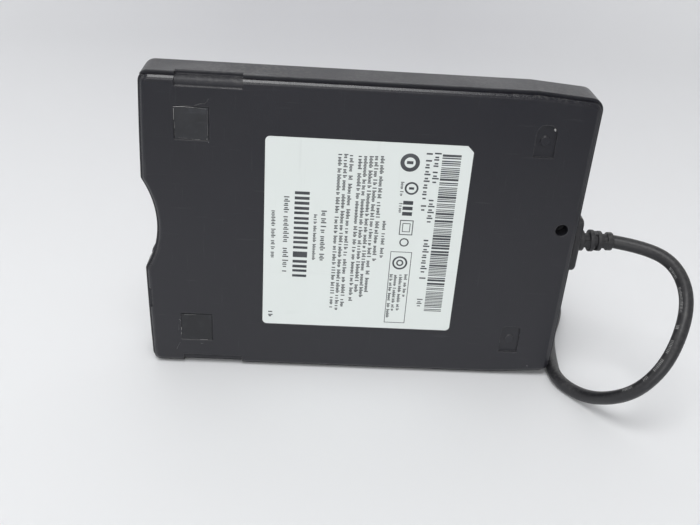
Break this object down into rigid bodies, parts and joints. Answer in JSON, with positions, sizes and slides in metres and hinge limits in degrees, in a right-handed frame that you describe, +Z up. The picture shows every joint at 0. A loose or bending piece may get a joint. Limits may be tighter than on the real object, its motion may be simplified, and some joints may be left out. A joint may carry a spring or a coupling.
{
  "type": "external floppy disk drive",
  "caption": "Slim external 3.5 inch floppy disk drive with finger notch, disk slot, eject button and captive USB lead, stood on its long side.",
  "frame": {"origin": "bottom centre of the drive's bounding box as it stands on its long side, without the lead", "axes": "+Z is up, along the drive's width; -X is the front with the disk slot and +X the rear with the lead; -Y is the underside with the label and +Y the upper cover"},
  "size_m": [0.1779, 0.1112, 0.104],
  "materials": {
    "case": "fine-grained charcoal plastic",
    "label": "satin off-white film",
    "pad": "dull adhesive pad",
    "dark_steel": "blackened steel",
    "steel": "pressed zinc-plated steel",
    "lens": "clear green lamp window",
    "white_plastic": "natural white moulding",
    "board": "green circuit board",
    "copper": "enamelled copper wire",
    "brass": "sintered bush",
    "magnet": "bonded magnet",
    "black_plastic": "black moulding",
    "ceramic": "polished ceramic",
    "film": "amber ribbon film",
    "wire": "insulated wire",
    "cord": "soft black sheath and mouldings",
    "bright_metal": "plated plug shell"
  },
  "bodies": {
    "case": {"top_cover": "case", "bottom_cover": "case", "rating_label": "label", "foot_pads": "pad", "case_screw": "dark_steel", "front_bezel": "case", "door_spring": "steel", "led_lens": "lens", "chassis_frame": "steel", "chassis_screws": "dark_steel", "eject_springs": "steel", "spindle_board": "board", "stator_core": "dark_steel", "stator_coils": "copper", "spindle_bearing": "brass", "guide_rods": "steel", "rod_clamps": "steel", "screw_bearing": "white_plastic", "stepper_motor": "steel", "track_zero_sensor": "black_plastic", "head_flex": "film", "main_board": "board", "main_board_chips": "black_plastic", "usb_board": "board", "usb_board_parts": "black_plastic", "lead_connector": "white_plastic", "lead_wires": "wire", "board_ribbon": "film", "sense_switches": "black_plastic", "cable_gland": "cord", "cable_boot": "cord", "usb_cable": "cord", "cable_coil": "cord", "cable_tie": "cord", "usb_cable_tail": "cord", "usb_plug_body": "cord", "usb_plug_shell": "bright_metal", "usb_plug_contacts": "white_plastic"},
    "cage": {"disk_holder": "steel", "lever_post": "steel", "lever_spring": "steel"},
    "ejector": {"slide_plate": "steel", "eject_button": "case"},
    "door": {"slot_door": "case"},
    "lever": {"shutter_lever": "white_plastic"},
    "spindle": {"rotor_cup": "steel", "rotor_magnet": "magnet", "spindle_hub": "steel", "drive_pin": "white_plastic"},
    "carriage": {"head_carriage": "black_plastic", "lower_head": "ceramic", "arm_pivot_pin": "steel", "arm_spring": "steel"},
    "head_arm": {"upper_head_arm": "black_plastic", "upper_head": "ceramic"},
    "screw": {"lead_screw": "steel"},
    "write_protect": {"write_protect_plunger": "white_plastic"},
    "disk_in": {"disk_in_plunger": "white_plastic"},
    "density": {"density_plunger": "white_plastic"}
  },
  "joints": [
    {"name": "holder_drop", "type": "slide", "parent": "case", "child": "cage", "axis": [0, -1, 0], "range_m": [0, 0.002]},
    {"name": "eject_slide", "type": "slide", "parent": "case", "child": "ejector", "axis": [-1, 0, 0], "range_m": [0, 0.005], "deforming": ["eject_springs"]},
    {"name": "door_swing", "type": "hinge", "parent": "case", "child": "door", "pos_m": [-0.06425, 0.0057, 0.052], "axis": [0, 0, 1], "range_deg": [0, 88], "stiffness_Nm_per_rad": 0.0004},
    {"name": "lever_swing", "type": "hinge", "parent": "cage", "child": "lever", "pos_m": [0.033, 0.0055, 0.092], "axis": [0, -1, 0], "range_deg": [0, 50], "stiffness_Nm_per_rad": 0.0008},
    {"name": "spindle_spin", "type": "hinge", "parent": "case", "child": "spindle", "pos_m": [-0.018, -0.002, 0.052], "axis": [0, 1, 0], "continuous": true},
    {"name": "head_slide", "type": "slide", "parent": "case", "child": "carriage", "axis": [-1, 0, 0], "range_m": [0, 0.0148], "deforming": ["head_flex"]},
    {"name": "arm_lift", "type": "hinge", "parent": "carriage", "child": "head_arm", "pos_m": [0.047, 0.0018, 0.052], "axis": [0, 0, 1], "range_deg": [0, 8.34]},
    {"name": "screw_spin", "type": "hinge", "parent": "case", "child": "screw", "pos_m": [0.03, -0.0021, 0.034], "axis": [1, 0, 0], "range_deg": [0, 1780]},
    {"name": "write_protect_press", "type": "slide", "parent": "case", "child": "write_protect", "axis": [0, -1, 0], "range_m": [0, 0.0009], "stiffness_N_per_m": 60},
    {"name": "disk_in_press", "type": "slide", "parent": "case", "child": "disk_in", "axis": [0, -1, 0], "range_m": [0, 0.0009], "stiffness_N_per_m": 60},
    {"name": "density_press", "type": "slide", "parent": "case", "child": "density", "axis": [0, -1, 0], "range_m": [0, 0.0009], "stiffness_N_per_m": 60}
  ],
  "couplings": [
    {"joint": "eject_slide", "follows": "holder_drop", "ratio": 2.5},
    {"joint": "arm_lift", "follows": "holder_drop", "rad_per_m": 72.78},
    {"joint": "screw_spin", "follows": "head_slide", "rad_per_m": 2094.4}
  ]
}
